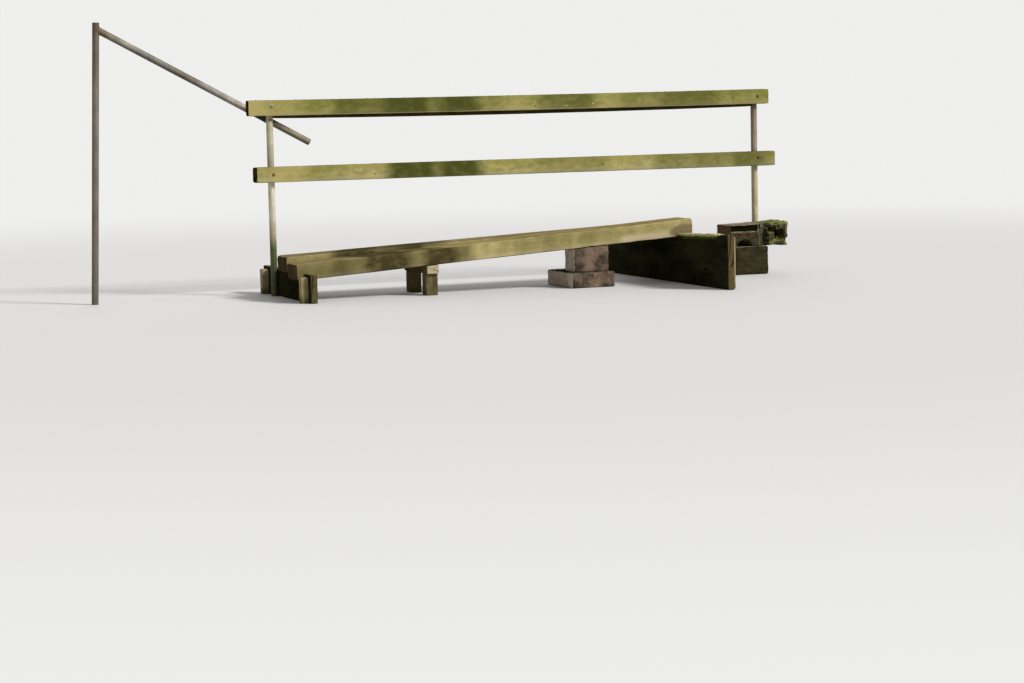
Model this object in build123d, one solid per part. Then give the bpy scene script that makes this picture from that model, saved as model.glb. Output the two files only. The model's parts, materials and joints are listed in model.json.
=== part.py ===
"""Small wooden footbridge: two deck timbers on plank abutments, with one post-and-rail side. Millimetres, +Z up.

Layout: X runs along the rails, from the lower (left) bank to the right one. Y runs across the bridge, away from
the open side. Z is 0 at the lowest ground that the supports stand on. The pieces are laid out from the left end
of the top rail's front face, and are all moved at the end so that the origin is the middle of the footprint.
"""
from build123d import *
import math
import os

# Handrail
rail_length = 4090.0
rail_height = 112.0
rail_thickness = 50.0
rail_top = 1395.0               # top of the top rail above the ground
rail_spacing = 471.0            # top of one rail to top of the other
middle_rail_shift = 50.0        # the middle rail starts this much further right
middle_rail_skew = 24.0         # degrees, its left end is sawn obliquely in plan
top_rail_skew = 9.0             # the same for the top rail
rail_arris = 2.0

# Strip behind the top rail, between the posts
strip_height = 64.0
strip_thickness = 38.0
strip_drop = 18.0               # its ends hang this far below the rail
strip_sag = 13.0                # its middle hangs lower still

# Tubes
tube_diameter = 48.3
tube_wall = 3.2
left_post_x = 171.0
post_spacing = 3826.0
post_top_drop = 14.0            # post tops stop this far below the top of the top rail
seat_gap = 0.2                  # between a tube and what it is bolted to

# Approach handrail on the left bank
approach_angle = 28.5           # degrees above level
approach_cross_height = 1254.0  # of its axis where it passes behind the left post
approach_tail = 347.0           # from the left post to its free lower end, along the tube
approach_post_distance = 1209.0 # from the left post to where the two tubes' axes meet
approach_post_cap = 45.0        # post top above that point
approach_post_lean = 2.3        # degrees, its top leans towards the bridge

# Deck
deck_length = 3006.0
deck_left_overhang = 48.0       # past the left retaining board
deck_right_reach = 113.0        # past the near face of the right retaining board
deck_front = -600.0
timber_width = 247.0
timber_depth = 114.0
front_timber_taper = 13.0       # the front timber is deeper by this at its right end
timber_gap = 5.0
timber_arris = 5.0
front_seat_left = 154.0         # undersides at the two retaining boards
front_seat_right = 337.5
back_seat_left = 193.0
back_seat_right = 319.0

# Left retaining board
left_board_top = 199.0
left_board_front_reach = 150.0  # in front of the deck
left_board_back_reach = 540.0   # behind the deck
board_thickness = 50.0

# Right retaining boards, two courses, the upper one sawn to a slope
right_board_front_reach = 815.0
right_board_back_reach = 826.0
right_board_front_top = 386.0
right_board_fall = 2.0          # degrees, the top falls away to the back
lower_board_height = 165.0
housing_clearance = 2.0         # beside a deck timber that is let into a board
housing_run_on = 300.0          # the shape that cuts the housings runs past the deck's ends
housing_allowance = 2.0         # a support starts this much too high, and is cut to the deck's slope

# Pegs behind the boards
peg_size = 55.0
peg_top_drop = 18.0
peg_inset = 120.0               # from a right-hand board's end to the middle of its peg
peg_chamfer = 9.0

# Trestle near the left bank
trestle_from_deck_end = 945.0
trestle_cap_width = 91.0
trestle_cap_depth = 60.0        # under the front timber
trestle_pile_size = 88.0
trestle_pile_inset = 30.0

# Stone pier
pier_from_deck_end = 2069.0
pier_block_length = 272.0
pier_block_width = 180.0
pier_block_inset = 12.0
pier_back_width = 160.0         # of the block under the back timber
pier_back_short = 100.0         # which starts this much further right than the front one
pier_footing_height = 112.0
pier_footing_margin = 32.0
stone_edge = 9.0

# Kerb timbers behind the right-hand path
kerb_past_post = 143.0          # the upper kerb runs on past the right post's axis
kerb_before_post = 338.0
kerb_width = 250.0
kerb_top = 375.0                # of the upper kerb at its left end
kerb_top_rise = 14.0            # and its right end is higher by this
kerb_lower_height = 213.0
kerb_lower_short = 170.0        # the lower kerb stops this much before the upper one
kerb_lower_inset = 40.0         # and starts this much after it
kerb_arris = 7.0

# Worked out from the sizes above
tube_radius = tube_diameter / 2
post_y = rail_thickness + seat_gap + tube_radius
right_post_x = left_post_x + post_spacing
approach_y = post_y + tube_diameter + seat_gap
approach_post_x = left_post_x - approach_post_distance
left_board_x = left_post_x + tube_radius + seat_gap
deck_left = left_board_x - deck_left_overhang
deck_right = deck_left + deck_length
right_board_x = deck_right - deck_right_reach
trestle_x = deck_left + trestle_from_deck_end
pier_x = deck_left + pier_from_deck_end
kerb_left_end = right_post_x - kerb_before_post
kerb_right_end = right_post_x + kerb_past_post
joint_y = deck_front + timber_width + timber_gap / 2
back_timber_front = joint_y + timber_gap / 2
deck_back = back_timber_front + timber_width
left_board_front = deck_front - left_board_front_reach
left_board_back = deck_back + left_board_back_reach
right_board_front = deck_front - right_board_front_reach
right_board_back = deck_back + right_board_back_reach
left_seat_x = left_board_x + board_thickness / 2
right_seat_x = right_board_x + board_thickness / 2


def block(x, y, z):
    """Box between low and high corners, each argument a (low, high) pair."""
    size = (x[1] - x[0], y[1] - y[0], z[1] - z[0])
    return Pos(x[0], y[0], z[0]) * Box(*size, align=(Align.MIN, Align.MIN, Align.MIN))


def long_edges(solid, axis):
    """Edges that run along one axis, or within a few degrees of it."""
    return solid.edges().filter_by(lambda edge: abs(edge.tangent_at(0.5).dot(axis.direction)) > 0.99)


def rail(left, top, skew):
    """A rail: rectangular, with its left end sawn at an angle in plan, longest at the back."""
    reach = rail_thickness * math.tan(math.radians(skew))
    plan = Polygon(
        (left, 0), (left + rail_length, 0), (left + rail_length, rail_thickness), (left - reach, rail_thickness),
        align=None,
    )
    solid = Pos(0, 0, top - rail_height) * extrude(plan, rail_height)
    return chamfer(long_edges(solid, Axis.X), rail_arris)


def strip():
    """Wooden strip on the back of the top rail, let in between the posts; it has sagged."""
    left = left_post_x + tube_radius + seat_gap
    right = right_post_x - tube_radius - seat_gap
    middle = (left + right) / 2
    low = rail_top - rail_height - strip_drop
    high = low + strip_height
    side = make_face([
        ThreePointArc((left, low), (middle, low - strip_sag), (right, low)),
        Line((right, low), (right, high)),
        ThreePointArc((right, high), (middle, high - strip_sag), (left, high)),
        Line((left, high), (left, low)),
    ])
    back = rail_thickness + seat_gap + strip_thickness
    return Pos(0, back, 0) * extrude(Plane.XZ * side, strip_thickness)


def tube(length):
    """Open tube along +Z from the origin."""
    return extrude(Circle(tube_radius) - Circle(tube_radius - tube_wall), length)


def post(x, y, height):
    return Pos(x, y, 0) * tube(height)


def slope(seat_left, seat_right):
    """Rise of a deck timber in degrees."""
    return math.degrees(math.atan2(seat_right - seat_left, right_seat_x - left_seat_x))


def underside(seat_left, seat_right, x):
    """Height of a deck timber's underside at x."""
    return seat_left + (x - left_seat_x) * math.tan(math.radians(slope(seat_left, seat_right)))


def laid(shape, seat_left, seat_right, y):
    """Puts a shape drawn along +X, with its underside at Z 0, where a deck timber lies."""
    start = underside(seat_left, seat_right, deck_left)
    return Pos(deck_left, y, start) * Rot(0, -slope(seat_left, seat_right), 0) * shape


def deck_timber(seat_left, seat_right, y, taper=0.0):
    """A deck timber: square at its left end, cut plumb at its right one, where it is deeper by the taper."""
    rise = math.radians(slope(seat_left, seat_right))
    length = deck_length / math.cos(rise)
    right_depth = timber_depth + taper
    side = Polygon(
        (0, 0), (length, 0), (length + right_depth * math.tan(rise), right_depth), (0, timber_depth), align=None
    )
    solid = Pos(0, timber_width, 0) * extrude(Plane.XZ * side, timber_width)
    return laid(chamfer(long_edges(solid, Axis.X), timber_arris), seat_left, seat_right, y)


def housing(seat_left, seat_right, y, width):
    """What a support loses where a deck timber beds down on it."""
    run = (-housing_run_on, deck_length + housing_run_on)
    return laid(block(run, (0, width), (0, rail_top)), seat_left, seat_right, y)


front_housing = housing(
    front_seat_left, front_seat_right, deck_front - housing_clearance, joint_y - deck_front + housing_clearance
)
back_housing = housing(back_seat_left, back_seat_right, joint_y, deck_back + housing_clearance - joint_y)


def bedded(solid):
    """A support with both deck timbers let into its top."""
    return solid - front_housing - back_housing


def retaining_board(x, front, back, bottom, front_top, back_top):
    """Plank on edge across the bridge, its top level or sawn to a slope."""
    side = Polygon((front, bottom), (back, bottom), (back, back_top), (front, front_top), align=None)
    return extrude(Plane.YZ.offset(x) * side, board_thickness)


def peg(x, y, height):
    solid = block((x, x + peg_size), (y - peg_size / 2, y + peg_size / 2), (0, height))
    return chamfer(solid.faces().sort_by(Axis.Z)[-1].edges(), peg_chamfer)


def right_board_top(y):
    return right_board_front_top - (y - right_board_front) * math.tan(math.radians(right_board_fall))


def right_peg(y):
    return peg(right_board_x + board_thickness, y, right_board_top(y) - peg_top_drop)


def left_peg(y):
    return peg(left_board_x - peg_size, y, left_board_top - peg_top_drop)


def approach_rail():
    """Sloping tube: coped onto its own post at the top, free beyond the left post at the bottom."""
    rise = math.radians(approach_angle)
    run = approach_post_distance / math.cos(rise)
    solid = Rot(0, 90, 0) * tube(run + approach_tail)
    solid = Pos(-run, 0, 0) * solid
    solid = Pos(left_post_x, approach_y, approach_cross_height) * Rot(0, approach_angle, 0) * solid
    cope = at_the_joint(Cylinder(tube_radius + seat_gap, 2 * approach_joint_height()))
    return largest(solid - cope)


def approach_joint_height():
    """Where the axes of the sloping tube and of its post meet."""
    return approach_cross_height + approach_post_distance * math.tan(math.radians(approach_angle))


def at_the_joint(shape):
    """Puts a shape drawn along +Z on the leaning axis of the approach post, its origin where the axes meet."""
    return Pos(approach_post_x, approach_y, approach_joint_height()) * Rot(0, approach_post_lean, 0) * shape


def approach_post():
    """Leaning tube that stands on the lowest point of its rim."""
    lean = math.radians(approach_post_lean)
    below = approach_joint_height() / math.cos(lean) - tube_radius * math.tan(lean)
    return at_the_joint(Pos(0, 0, -below) * tube(below + approach_post_cap))


def largest(shape):
    return shape.solids().sort_by(SortBy.VOLUME)[-1]


def trestle():
    """Cap under both deck timbers, and a pile under each."""
    middle = trestle_x + trestle_cap_width / 2
    cap_bottom = underside(front_seat_left, front_seat_right, middle) - trestle_cap_depth
    cap_top = underside(back_seat_left, back_seat_right, trestle_x + trestle_cap_width) + housing_allowance
    cap = bedded(block((trestle_x, trestle_x + trestle_cap_width), (deck_front, deck_back), (cap_bottom, cap_top)))
    pile_x = (middle - trestle_pile_size / 2, middle + trestle_pile_size / 2)
    front = deck_front + trestle_pile_inset
    back = deck_back - trestle_pile_inset
    return {
        "trestle_cap": cap,
        "trestle_front_pile": block(pile_x, (front, front + trestle_pile_size), (0, cap_bottom)),
        "trestle_back_pile": block(pile_x, (back - trestle_pile_size, back), (0, cap_bottom)),
    }


def stone(x, y, z, bedded_top=False):
    """Squared stone with worn corners."""
    solid = block(x, y, z)
    solid = chamfer(long_edges(solid, Axis.Z), stone_edge)
    return bedded(solid) if bedded_top else solid


def pier():
    """Footing stone across the bridge, and a block under each deck timber."""
    x = (pier_x, pier_x + pier_block_length)
    top = underside(front_seat_left, front_seat_right, x[1]) + housing_allowance
    front = deck_front + pier_block_inset
    back = joint_y + pier_block_inset
    back_x = (x[0] + pier_back_short, x[1])
    back_y = (back, back + pier_back_width)
    margin = pier_footing_margin
    footing_x = (x[0] - margin, x[1] + margin)
    footing_y = (front - margin, back_y[1] + margin)
    return {
        "pier_footing": stone(footing_x, footing_y, (0, pier_footing_height)),
        "pier_front_block": stone(x, (front, front + pier_block_width), (pier_footing_height, top), True),
        "pier_back_block": stone(back_x, back_y, (pier_footing_height, top), True),
    }


def kerb():
    """Two old timbers, one on the other, between the right post and the path."""
    y = (rail_thickness - kerb_width, rail_thickness)
    side = Polygon(
        (kerb_left_end, kerb_lower_height), (kerb_right_end, kerb_lower_height),
        (kerb_right_end, kerb_top + kerb_top_rise), (kerb_left_end, kerb_top), align=None,
    )
    upper = Pos(0, rail_thickness, 0) * extrude(Plane.XZ * side, kerb_width)
    lower_x = (kerb_left_end + kerb_lower_inset, kerb_right_end - kerb_lower_short)
    lower = block(lower_x, y, (0, kerb_lower_height))
    return {
        "kerb_upper_timber": chamfer(long_edges(upper, Axis.X), kerb_arris),
        "kerb_lower_timber": lower,
    }


def pieces():
    post_height = rail_top - post_top_drop
    left_board = retaining_board(
        left_board_x, left_board_front, left_board_back, 0, left_board_top, left_board_top
    )
    upper_board = retaining_board(
        right_board_x, right_board_front, right_board_back, lower_board_height,
        right_board_front_top, right_board_top(right_board_back),
    )
    lower_board = retaining_board(
        right_board_x, right_board_front, right_board_back, 0, lower_board_height, lower_board_height
    )
    return {
        "top_rail": rail(0, rail_top, top_rail_skew),
        "top_rail_strip": strip(),
        "middle_rail": rail(middle_rail_shift, rail_top - rail_spacing, middle_rail_skew),
        "left_post": post(left_post_x, post_y, post_height),
        "right_post": post(right_post_x, post_y, post_height),
        "approach_rail": approach_rail(),
        "approach_post": approach_post(),
        "front_deck_timber": deck_timber(front_seat_left, front_seat_right, deck_front, front_timber_taper),
        "back_deck_timber": deck_timber(back_seat_left, back_seat_right, back_timber_front),
        "left_board": bedded(left_board),
        "left_front_peg": left_peg((left_board_front + deck_front) / 2),
        "left_back_peg": left_peg(left_board_back - peg_inset),
        "right_upper_board": bedded(upper_board),
        "right_lower_board": lower_board,
        "right_front_peg": right_peg(right_board_front + peg_inset),
        "right_back_peg": right_peg(right_board_back - peg_inset),
        **trestle(),
        **pier(),
        **kerb(),
    }


def centred(parts):
    """Moves every piece so that the origin is the middle of the footprint, on the ground."""
    boxes = [shape.bounding_box() for shape in parts.values()]
    low = [min(tuple(box.min)[i] for box in boxes) for i in range(3)]
    high = [max(tuple(box.max)[i] for box in boxes) for i in range(3)]
    move = Pos(-(low[0] + high[0]) / 2, -(low[1] + high[1]) / 2, -low[2])
    return {name: move * shape for name, shape in parts.items()}


os.makedirs("parts", exist_ok=True)
for name, shape in centred(pieces()).items():
    export_step(shape, f"parts/{name}.step")
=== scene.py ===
"""Looks of the small timber footbridge.

Algae on the rails, a worn deck, black mossy boards, rough stone and dull tube.
Every piece lies where the solid that it replaces lies. Lengths are in metres.
"""
import json
import math
import random

import bmesh
import bpy
from mathutils import Matrix, Vector, noise

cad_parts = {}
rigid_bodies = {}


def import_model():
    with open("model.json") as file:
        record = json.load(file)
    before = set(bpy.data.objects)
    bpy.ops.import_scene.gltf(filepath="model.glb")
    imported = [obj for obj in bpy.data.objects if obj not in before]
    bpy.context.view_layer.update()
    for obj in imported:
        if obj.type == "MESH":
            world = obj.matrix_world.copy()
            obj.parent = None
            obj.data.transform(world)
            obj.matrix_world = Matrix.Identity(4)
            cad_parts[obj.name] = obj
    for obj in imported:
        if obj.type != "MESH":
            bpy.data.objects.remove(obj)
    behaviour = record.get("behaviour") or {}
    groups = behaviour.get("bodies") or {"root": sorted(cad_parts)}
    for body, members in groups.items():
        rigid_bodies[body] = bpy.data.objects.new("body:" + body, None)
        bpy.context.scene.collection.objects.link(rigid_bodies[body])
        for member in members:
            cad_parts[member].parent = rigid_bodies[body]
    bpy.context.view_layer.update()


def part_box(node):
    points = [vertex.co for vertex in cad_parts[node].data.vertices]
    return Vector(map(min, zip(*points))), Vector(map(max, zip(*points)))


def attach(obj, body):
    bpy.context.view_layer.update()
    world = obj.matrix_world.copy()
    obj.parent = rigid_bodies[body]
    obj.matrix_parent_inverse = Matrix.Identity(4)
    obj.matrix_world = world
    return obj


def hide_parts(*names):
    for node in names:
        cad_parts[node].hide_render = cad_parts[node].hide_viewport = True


# Deck timbers, as in the part: each rises over the run between the two retaining boards
DECK_RUN = 3.006
TIMBER_WIDTH = 0.247
TIMBER_DEPTH = 0.114
BOARD_SPAN = 2.845
FRONT_RISE = math.atan2(0.1835, BOARD_SPAN)
FRONT_TAPER = 0.013
BACK_RISE = math.atan2(0.126, BOARD_SPAN)
HOUSING_CLEARANCE = 0.002
HOUSING_OVERLAP = 0.0025

# The top of the right board falls towards the deck's back
BOARD_FALL = math.radians(2.0)

# The upper kerb: its top's rise to the right end, its ledge's height, where the rot begins,
# and how far the moss's left edge runs to the right for each metre that it goes back
KERB_TOP_RISE = 0.014
KERB_LEDGE = 0.108
KERB_ROT_START = 0.20
MOSS_EDGE_SLANT = 0.41

# Tubes: the approach post leans, and stands this far before the left post where the two tubes meet
TUBE_RADIUS = 0.02415
TUBE_WALL = 0.0032
APPROACH_ANGLE = math.radians(28.5)
APPROACH_POST_DISTANCE = 1.209
APPROACH_POST_CAP = 0.045
APPROACH_POST_LEAN = math.radians(2.3)

# Rails, and the strip that hangs behind the top one
TOP_SKEW = math.radians(9.0)
TOP_BOW = 0.005
MIDDLE_SKEW = math.radians(24.0)
SKEW_LENGTH = 0.2
STRIP_HEIGHT = 0.064

# Bolts
SHANK_RADIUS = 0.006
THREAD_PAST_POST = 0.016
NUT_RADIUS = 0.0105
NUT_THICKNESS = 0.010
WASHER_SIDE = 0.038
WASHER_THICKNESS = 0.003
HEAD_RIM = 0.003
RAIL_HEAD_RADIUS = 0.012
APPROACH_HEAD_RADIUS = 0.009

# Camera of the photograph
CAMERA_PLACE = (-6.2425, -17.0645, 1.4309)
CAMERA_HEADING = math.radians(-21.027)
CAMERA_PITCH = math.radians(90 - 5.667)
CAMERA_ROLL = math.radians(-1.257)
CAMERA_LENS = 89.2

# How a piece's own directions turn when its length lies along Y or stands along Z
ALONG_X = (0, 0, 0)
ALONG_Y = (0, 0, math.radians(90))
ALONG_Z = (0, math.radians(-90), 0)


def clear_the_bench():
    bpy.ops.object.select_all(action="SELECT")
    bpy.ops.object.delete()


clear_the_bench()
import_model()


# Modelling

def only(piece):
    bpy.ops.object.select_all(action="DESELECT")
    piece.select_set(True)
    bpy.context.view_layer.objects.active = piece


def settle(piece):
    """Puts the piece's place into its mesh, so that the object sits at the origin."""
    only(piece)
    bpy.ops.object.transform_apply(location=True, rotation=True, scale=True)


def added(add_primitive, **settings):
    """A new primitive with nothing else selected, its place in its mesh."""
    bpy.ops.object.select_all(action="DESELECT")
    add_primitive(**settings)
    piece = bpy.context.object
    settle(piece)
    return piece


def open_mesh(piece):
    only(piece)
    bpy.ops.object.mode_set(mode="EDIT")
    bpy.ops.mesh.select_all(action="DESELECT")


def close_mesh():
    bpy.ops.object.mode_set(mode="OBJECT")


def pick_edges(piece, wanted):
    """Selects the edges whose two ends pass, in edit mode."""
    bpy.ops.mesh.select_all(action="DESELECT")
    bpy.ops.mesh.select_mode(type="EDGE")
    mesh = bmesh.from_edit_mesh(piece.data)
    for edge in mesh.edges:
        edge.select = wanted(edge.verts[0].co, edge.verts[1].co)
    mesh.select_flush_mode()
    bmesh.update_edit_mesh(piece.data)


def pick_faces(piece, wanted):
    """Selects the faces whose middle and normal pass, in edit mode."""
    bpy.ops.mesh.select_all(action="DESELECT")
    bpy.ops.mesh.select_mode(type="FACE")
    mesh = bmesh.from_edit_mesh(piece.data)
    for face in mesh.faces:
        face.select = wanted(face.calc_center_median(), face.normal)
    mesh.select_flush_mode()
    bmesh.update_edit_mesh(piece.data)


def runs_along(a, b, axis):
    return abs((b - a).normalized()[axis]) > 0.999


def blank(name, size):
    """A squared length with one corner at the origin, its length along X."""
    middle = [side / 2 for side in size]
    piece = added(bpy.ops.mesh.primitive_cube_add, size=1, location=middle, scale=size)
    piece.name = name
    return piece


def cut_into_cells(piece, size, cell):
    """Cuts a blank all over into cells of about one size."""
    open_mesh(piece)
    for axis in range(3):
        cuts = round(size[axis] / cell) - 1
        if cuts > 0:
            pick_edges(piece, lambda a, b: runs_along(a, b, axis))
            bpy.ops.mesh.subdivide(number_cuts=cuts)
    close_mesh()


def break_arrises(piece, size, width, segments=2):
    """Rounds the four long arrises of a blank."""
    nearly = 1e-5

    def at_corner(point):
        return all(min(abs(point[axis]), abs(point[axis] - size[axis])) < nearly for axis in (1, 2))

    open_mesh(piece)
    pick_edges(piece, lambda a, b: at_corner(a) and at_corner(b) and runs_along(a, b, 0))
    bpy.ops.mesh.bevel(offset=width, segments=segments, profile=0.5, clamp_overlap=True)
    close_mesh()


def soften(piece, width):
    """Rounds every edge of a plain block."""
    open_mesh(piece)
    bpy.ops.mesh.select_all(action="SELECT")
    bpy.ops.mesh.bevel(offset=width, segments=2)
    close_mesh()


def sculpt(piece, moved):
    """Moves every point of a mesh to where moved(point) says."""
    for vertex in piece.data.vertices:
        vertex.co = moved(vertex.co.copy())
    piece.data.update()


def cloud(x, y, z):
    """Smooth noise from 0 to 1."""
    return 0.5 + 0.5 * noise.noise(Vector((x, y, z)))


def sag_at(share):
    """How much of a sag shows at a share of the length: nothing at the ends, all of it half-way."""
    return 1 - (2 * share - 1) ** 2


def wear(piece, size, bite, reach, seed):
    """Wears the long arrises and the ends unevenly, and chips them here and there."""
    def moved(p):
        to_side = [min(p[axis], size[axis] - p[axis]) for axis in range(3)]
        inward = [1 if p[axis] < size[axis] / 2 else -1 for axis in range(3)]
        for one, other in ((1, 2), (0, 1), (0, 2)):
            near = 1 - (to_side[one] + to_side[other]) / reach
            if near > 0:
                along = p[3 - one - other]
                soft = cloud(along * 9 + seed, inward[one] * 3, inward[other] * 5)
                chip = max(0, cloud(along * 31 + seed, inward[other] * 7, inward[one] * 2) - 0.6) * 3
                depth = bite * near * (0.3 + soft + chip)
                p[one] += inward[one] * depth
                p[other] += inward[other] * depth
        return p

    sculpt(piece, moved)


def apply_modifier(piece, modifier):
    only(piece)
    bpy.ops.object.modifier_apply(modifier=modifier.name)


def roughen(piece, height, size, drawn_out=(1, 1, 1), shift=0.0):
    """Raises and sinks the surface by a cloud pattern, drawn out along the grain."""
    guide = bpy.data.objects.new("guide", None)
    guide.scale = drawn_out
    guide.location = (shift, shift * 0.7, shift * 1.3)
    bpy.context.scene.collection.objects.link(guide)
    bpy.context.view_layer.update()
    pattern = bpy.data.textures.new("cloud", "CLOUDS")
    pattern.noise_scale = size
    pattern.noise_depth = 3
    modifier = piece.modifiers.new("roughen", "DISPLACE")
    modifier.texture = pattern
    modifier.texture_coords = "OBJECT"
    modifier.texture_coords_object = guide
    modifier.strength = height
    modifier.mid_level = 0.5
    apply_modifier(piece, modifier)
    bpy.data.objects.remove(guide)
    bpy.data.textures.remove(pattern)


def remesh(piece, cell):
    modifier = piece.modifiers.new("even", "REMESH")
    modifier.mode = "VOXEL"
    modifier.voxel_size = cell
    apply_modifier(piece, modifier)


def cut_away(piece, *cutters):
    for cutter in cutters:
        modifier = piece.modifiers.new("cut", "BOOLEAN")
        modifier.operation = "DIFFERENCE"
        modifier.solver = "EXACT"
        modifier.object = cutter
        apply_modifier(piece, modifier)
        bpy.data.objects.remove(cutter)


def smooth(piece, angle=40):
    only(piece)
    bpy.ops.object.shade_smooth_by_angle(angle=math.radians(angle))


def joined(name, pieces):
    bpy.ops.object.select_all(action="DESELECT")
    for piece in pieces:
        piece.select_set(True)
    bpy.context.view_layer.objects.active = pieces[0]
    bpy.ops.object.join()
    pieces[0].name = name
    return pieces[0]


def stand(piece, place, turn=None):
    """Moves a finished piece to its place in the bridge."""
    matrix = Matrix.Translation(place)
    if turn is not None:
        matrix = matrix @ turn
    piece.data.transform(matrix)
    piece.data.update()


def keep_above_ground(piece):
    """Brings back what the wear has pushed below the ground."""
    def moved(p):
        p.z = max(p.z, 0.0)
        return p

    sculpt(piece, moved)


def fit_out(piece, slot, finish, *nodes):
    """Gives a piece its finish, hangs it on the root body, and hides the solids that it stands for."""
    piece.data.materials.clear()
    piece.data.materials.append(finish)
    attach(piece, "root")
    if nodes:
        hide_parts(*nodes)


def middle_of(node):
    low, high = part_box(node)
    return (low + high) / 2


# Finishes

class Finish:
    """A material made of nodes, with coordinates along, across and up the piece, from its own corner."""

    def __init__(self, name, start=(0, 0, 0), turn=ALONG_X, gloss=0.0):
        self.material = bpy.data.materials.new(name)
        self.material.use_nodes = True
        self.tree = self.material.node_tree
        self.tree.nodes.clear()
        self.shader = self.add("ShaderNodeBsdfPrincipled")
        self.shader.inputs["Specular IOR Level"].default_value = gloss
        self.end = self.add("ShaderNodeOutputMaterial")
        self.tree.links.new(self.shader.outputs["BSDF"], self.end.inputs["Surface"])
        self.place = self.add("ShaderNodeTexCoord").outputs["Object"]
        mapping = self.add("ShaderNodeMapping", vector_type="TEXTURE")
        mapping.inputs["Location"].default_value = start
        mapping.inputs["Rotation"].default_value = turn
        self.tree.links.new(self.place, mapping.inputs["Vector"])
        self.spot = mapping.outputs["Vector"]
        self.along, self.across, self.up = self.parts_of(self.spot)
        self.facing = self.parts_of(self.add("ShaderNodeNewGeometry").outputs["Normal"])

    def add(self, kind, **settings):
        node = self.tree.nodes.new(kind)
        for name, value in settings.items():
            setattr(node, name, value)
        return node

    def feed(self, socket, value):
        """Links a socket, or sets it where the value is the same all over."""
        if isinstance(value, bpy.types.NodeSocket):
            self.tree.links.new(value, socket)
        elif isinstance(value, (tuple, list)) and len(value) == 3 and socket.type == "RGBA":
            socket.default_value = (*value, 1)
        else:
            socket.default_value = value

    def parts_of(self, vector):
        node = self.add("ShaderNodeSeparateXYZ")
        self.feed(node.inputs[0], vector)
        return node.outputs[0], node.outputs[1], node.outputs[2]

    def calc(self, operation, a, b=0.0):
        node = self.add("ShaderNodeMath", operation=operation)
        self.feed(node.inputs[0], a)
        self.feed(node.inputs[1], b)
        return node.outputs[0]

    def plus(self, a, b):
        return self.calc("ADD", a, b)

    def minus(self, a, b):
        return self.calc("SUBTRACT", a, b)

    def times(self, a, b):
        """The product, which for two masks is where both of them are."""
        return self.calc("MULTIPLY", a, b)

    def outside(self, mask):
        return self.minus(1.0, mask)

    def distance(self, a, b):
        return self.calc("SQRT", self.plus(self.times(a, a), self.times(b, b)))

    def scaled(self, scale, shift, spot=None):
        """The coordinates at another scale, moved to a stretch of the pattern that is the piece's own."""
        node = self.add("ShaderNodeMapping", vector_type="POINT")
        node.inputs["Scale"].default_value = scale if isinstance(scale, tuple) else (scale, scale, scale)
        node.inputs["Location"].default_value = (shift, shift * 1.7, shift * 0.6)
        self.feed(node.inputs["Vector"], spot or self.spot)
        return node.outputs["Vector"]

    def noise(self, scale, detail=3.0, rough=0.55, shift=0.0, spot=None):
        node = self.add("ShaderNodeTexNoise")
        self.feed(node.inputs["Vector"], self.scaled(scale, shift, spot))
        node.inputs["Scale"].default_value = 1.0
        node.inputs["Detail"].default_value = detail
        node.inputs["Roughness"].default_value = rough
        return node.outputs["Fac"]

    def waver(self, amount, scale, detail, rough=0.55, shift=0.0):
        """Noise from minus half the amount to plus half of it."""
        return self.times(self.minus(self.noise(scale, detail, rough, shift), 0.5), amount)

    def hairline(self, pattern, width, core):
        """1 along the thin lines where a noise passes its middle value."""
        return self.rise(self.calc("ABSOLUTE", self.minus(pattern, 0.5)), width, core)

    def cells(self, scale, shift=0.0):
        """Distance to the nearest of scattered points, and that point's own random number."""
        node = self.add("ShaderNodeTexVoronoi")
        self.feed(node.inputs["Vector"], self.scaled(scale, shift))
        node.inputs["Scale"].default_value = 1.0
        chance = self.add("ShaderNodeSeparateColor")
        self.feed(chance.inputs[0], node.outputs["Color"])
        return node.outputs["Distance"], chance.outputs[0]

    def rise(self, value, low, high, start=0.0, end=1.0):
        """Goes smoothly from start to end while the value goes from low to high."""
        node = self.add("ShaderNodeMapRange", interpolation_type="SMOOTHSTEP")
        given = {"Value": value, "From Min": low, "From Max": high, "To Min": start, "To Max": end}
        for name in given:
            self.feed(node.inputs[name], given[name])
        return node.outputs["Result"]

    def band(self, value, low, high, soft):
        """1 while the value is between low and high, fading to 0 over the soft width outside."""
        return self.times(self.rise(value, low - soft, low), self.rise(value, high + soft, high))

    def mix(self, under, over, cover, strength=1.0):
        """One colour over another, as far as the cover and its strength go."""
        node = self.add("ShaderNodeMix", data_type="RGBA")
        self.feed(node.inputs[0], cover if strength == 1.0 else self.times(cover, strength))
        self.feed(node.inputs[6], under)
        self.feed(node.inputs[7], over)
        return node.outputs[2]

    def shaded(self, colour, value):
        """The colour, lighter or darker by a factor."""
        node = self.add("ShaderNodeVectorMath", operation="SCALE")
        self.feed(node.inputs[0], colour)
        self.feed(node.inputs["Scale"], value)
        return node.outputs[0]

    def near(self, x, z, width, height, soft, ragged=0.0):
        """1 at a place on the long faces, 0 outside an oval round it."""
        across = self.calc("DIVIDE", self.minus(self.along, x), width)
        upward = self.calc("DIVIDE", self.minus(self.up, z), height)
        far = self.distance(across, upward)
        return self.rise(self.plus(far, self.waver(ragged, 34, 4, 0.7)), 1.0, soft)

    def front_face(self):
        return self.rise(self.facing[1], -0.4, -0.8)

    def done(self, colour, roughness, height, depth, metal=0.0):
        self.feed(self.shader.inputs["Base Color"], colour)
        self.feed(self.shader.inputs["Roughness"], roughness)
        self.feed(self.shader.inputs["Metallic"], metal)
        bump = self.add("ShaderNodeBump")
        bump.inputs["Distance"].default_value = depth
        bump.inputs["Strength"].default_value = 0.8
        self.feed(bump.inputs["Height"], height)
        self.feed(self.shader.inputs["Normal"], bump.outputs["Normal"])
        return self.material


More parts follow.
